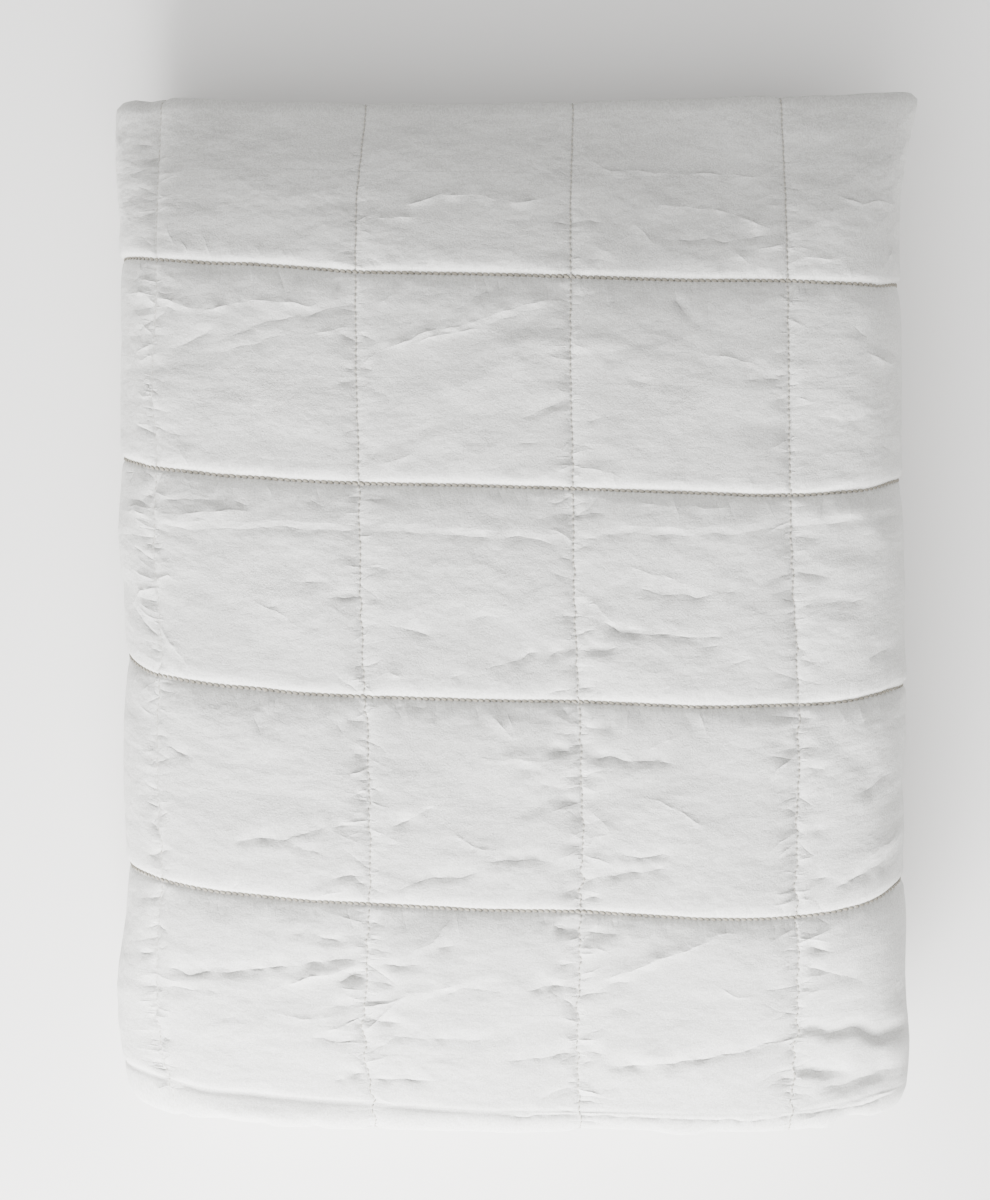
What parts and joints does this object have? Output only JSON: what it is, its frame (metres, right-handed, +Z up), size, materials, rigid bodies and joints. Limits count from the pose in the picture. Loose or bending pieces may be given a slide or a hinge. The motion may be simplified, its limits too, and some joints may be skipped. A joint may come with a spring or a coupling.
{
  "type": "folded quilt",
  "caption": "Thick padded quilt with square machine quilting, folded twice along its depth and rolled flat across its width into a soft rectangular bundle.",
  "frame": {"origin": "centre of the bundle's box, on the surface it lies on", "axes": "+X across the bundle to the right, +Y from the rounded front fold to the back, +Z up"},
  "size_m": [0.4686, 0.6082, 0.1286],
  "materials": {
    "washed_cotton": "matt washed cotton with a fine plain weave",
    "quilting_thread": "matt grey-beige cotton thread"
  },
  "bodies": {
    "root": {"quilt": "washed_cotton"}
  },
  "joints": []
}
